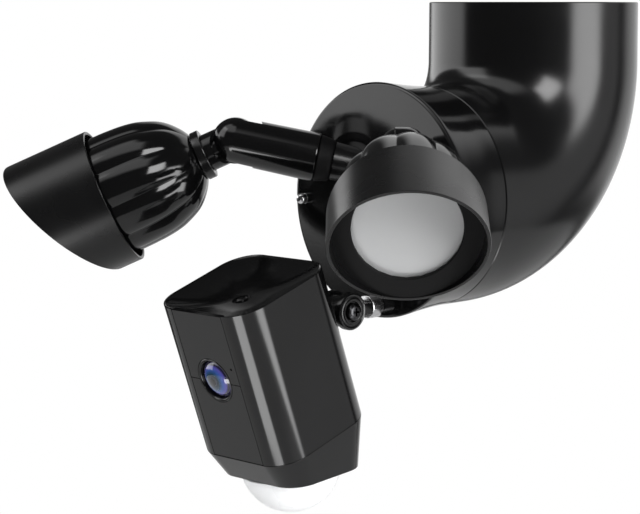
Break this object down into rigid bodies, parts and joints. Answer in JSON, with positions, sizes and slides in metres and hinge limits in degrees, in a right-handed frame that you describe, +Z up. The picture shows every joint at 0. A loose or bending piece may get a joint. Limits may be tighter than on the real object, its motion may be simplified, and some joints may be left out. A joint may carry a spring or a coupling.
{
  "type": "floodlight security camera",
  "caption": "Wall or ceiling floodlight with hooded lamps on jointed arms and a tilting security camera, hung from the round face of an elbow housing.",
  "frame": {"origin": "centre of the mounting face at the top of the elbow, on the mounting bracket", "axes": "+Z up through the mounting face into the wall box; the round face cover looks along -Y; +X is the side of the right lamp"},
  "size_m": [0.3195, 0.3276, 0.2594],
  "materials": {
    "elbow_housing": "satin black moulding with soft highlights",
    "mounting_bracket": "zinc plated steel",
    "bracket_gasket": "soft black rubber",
    "bracket_screw_front": "zinc plated steel",
    "bracket_screw_rear": "zinc plated steel",
    "elbow_screw_left": "zinc plated steel",
    "elbow_screw_right": "zinc plated steel",
    "power_supply": "matt black potted case",
    "terminal_block": "natural nylon",
    "supply_lead": "soft black rubber",
    "face_cover": "polished black",
    "face_seal": "soft black rubber",
    "cover_screw_left": "zinc plated steel",
    "cover_screw_right": "zinc plated steel",
    "arm_socket_left": "matt black coating",
    "arm_socket_right": "matt black coating",
    "arm_locknut_left": "matt black coating",
    "arm_locknut_right": "matt black coating",
    "camera_foot": "satin black coating",
    "arm_left": "gloss black coating",
    "tilt_screw_left": "black oxide steel",
    "lamp_knuckle_left": "satin black coating",
    "neck_nut_left": "matt black coating",
    "lamp_bell_left": "gloss black coating",
    "led_board_left": "green solder mask",
    "reflector_left": "bright reflector",
    "lamp_lens_left": "frosted light grey diffuser",
    "lens_seal_left": "soft black rubber",
    "lamp_hood_left": "satin black coating",
    "arm_right": "gloss black coating",
    "tilt_screw_right": "black oxide steel",
    "lamp_knuckle_right": "satin black coating",
    "neck_nut_right": "matt black coating",
    "lamp_bell_right": "gloss black coating",
    "led_board_right": "green solder mask",
    "reflector_right": "bright reflector",
    "lamp_lens_right": "frosted light grey diffuser",
    "lens_seal_right": "soft black rubber",
    "lamp_hood_right": "satin black coating",
    "camera_arm": "satin black coating",
    "knuckle_screw": "black oxide steel",
    "knuckle_nut": "black oxide steel",
    "camera_stem": "satin black coating",
    "stem_screw": "zinc plated steel",
    "camera_housing": "satin black moulding",
    "front_panel": "polished black",
    "lens_barrel": "polished black",
    "lens_glass": "coated camera glass",
    "camera_module": "matt black potted case",
    "main_board": "green solder mask",
    "speaker": "matt black potted case",
    "tact_switch": "zinc plated steel",
    "switch_board": "green solder mask",
    "base_skirt": "satin black moulding",
    "sensor_board": "green solder mask",
    "motion_sensor": "zinc plated steel",
    "sensor_dome": "milky white translucent moulding",
    "setup_button": "polished black"
  },
  "bodies": {
    "elbow": {"elbow_housing": "elbow_housing", "mounting_bracket": "mounting_bracket", "bracket_gasket": "bracket_gasket", "bracket_screw_front": "bracket_screw_front", "bracket_screw_rear": "bracket_screw_rear", "elbow_screw_left": "elbow_screw_left", "elbow_screw_right": "elbow_screw_right", "power_supply": "power_supply", "terminal_block": "terminal_block", "supply_lead": "supply_lead", "face_cover": "face_cover", "face_seal": "face_seal", "cover_screw_left": "cover_screw_left", "cover_screw_right": "cover_screw_right", "arm_socket_left": "arm_socket_left", "arm_socket_right": "arm_socket_right", "arm_locknut_left": "arm_locknut_left", "arm_locknut_right": "arm_locknut_right", "camera_foot": "camera_foot"},
    "arm_left": {"arm_left": "arm_left", "tilt_screw_left": "tilt_screw_left"},
    "knuckle_left": {"lamp_knuckle_left": "lamp_knuckle_left", "neck_nut_left": "neck_nut_left"},
    "lamp_left": {"lamp_bell_left": "lamp_bell_left", "led_board_left": "led_board_left", "reflector_left": "reflector_left", "lamp_lens_left": "lamp_lens_left", "lens_seal_left": "lens_seal_left", "lamp_hood_left": "lamp_hood_left"},
    "arm_right": {"arm_right": "arm_right", "tilt_screw_right": "tilt_screw_right"},
    "knuckle_right": {"lamp_knuckle_right": "lamp_knuckle_right", "neck_nut_right": "neck_nut_right"},
    "lamp_right": {"lamp_bell_right": "lamp_bell_right", "led_board_right": "led_board_right", "reflector_right": "reflector_right", "lamp_lens_right": "lamp_lens_right", "lens_seal_right": "lens_seal_right", "lamp_hood_right": "lamp_hood_right"},
    "camera_arm": {"camera_arm": "camera_arm", "knuckle_screw": "knuckle_screw", "knuckle_nut": "knuckle_nut"},
    "camera": {"camera_stem": "camera_stem", "stem_screw": "stem_screw", "camera_housing": "camera_housing", "front_panel": "front_panel", "lens_barrel": "lens_barrel", "lens_glass": "lens_glass", "camera_module": "camera_module", "main_board": "main_board", "speaker": "speaker", "tact_switch": "tact_switch", "switch_board": "switch_board", "base_skirt": "base_skirt", "sensor_board": "sensor_board", "motion_sensor": "motion_sensor", "sensor_dome": "sensor_dome"},
    "button": {"setup_button": "setup_button"}
  },
  "joints": [
    {"name": "arm_swivel_left", "type": "hinge", "parent": "elbow", "child": "arm_left", "pos_m": [-0.0168, -0.1237, -0.086], "axis": [-0.7005, -0.6833, 0.2059], "range_deg": [-80, 80]},
    {"name": "lamp_tilt_left", "type": "hinge", "parent": "arm_left", "child": "knuckle_left", "pos_m": [-0.0617, -0.1675, -0.0728], "axis": [0.698, -0.716, 0], "range_deg": [-60, 30]},
    {"name": "lamp_turn_left", "type": "hinge", "parent": "knuckle_left", "child": "lamp_left", "pos_m": [-0.0617, -0.1675, -0.0728], "axis": [-0.6532, -0.6352, -0.4121], "range_deg": [-90, 90]},
    {"name": "arm_swivel_right", "type": "hinge", "parent": "elbow", "child": "arm_right", "pos_m": [0.0168, -0.1237, -0.086], "axis": [0.7005, -0.6833, 0.2059], "range_deg": [-80, 80]},
    {"name": "lamp_tilt_right", "type": "hinge", "parent": "arm_right", "child": "knuckle_right", "pos_m": [0.0617, -0.1675, -0.0728], "axis": [0.698, 0.716, 0], "range_deg": [-60, 30]},
    {"name": "lamp_turn_right", "type": "hinge", "parent": "knuckle_right", "child": "lamp_right", "pos_m": [0.0617, -0.1675, -0.0728], "axis": [0.6671, -0.6511, -0.362], "range_deg": [-90, 90]},
    {"name": "camera_swivel", "type": "hinge", "parent": "elbow", "child": "camera_arm", "pos_m": [0, -0.1237, -0.159], "axis": [0, -1, 0], "range_deg": [-35, 35]},
    {"name": "camera_tilt", "type": "hinge", "parent": "camera_arm", "child": "camera", "pos_m": [0, -0.1493, -0.159], "axis": [1, 0, 0], "range_deg": [-35, 30]},
    {"name": "button_press", "type": "slide", "parent": "camera", "child": "button", "axis": [0, 0.3387, -0.9409], "range_m": [0, 0.001], "stiffness_N_per_m": 300, "springref_m": -0.0005}
  ]
}
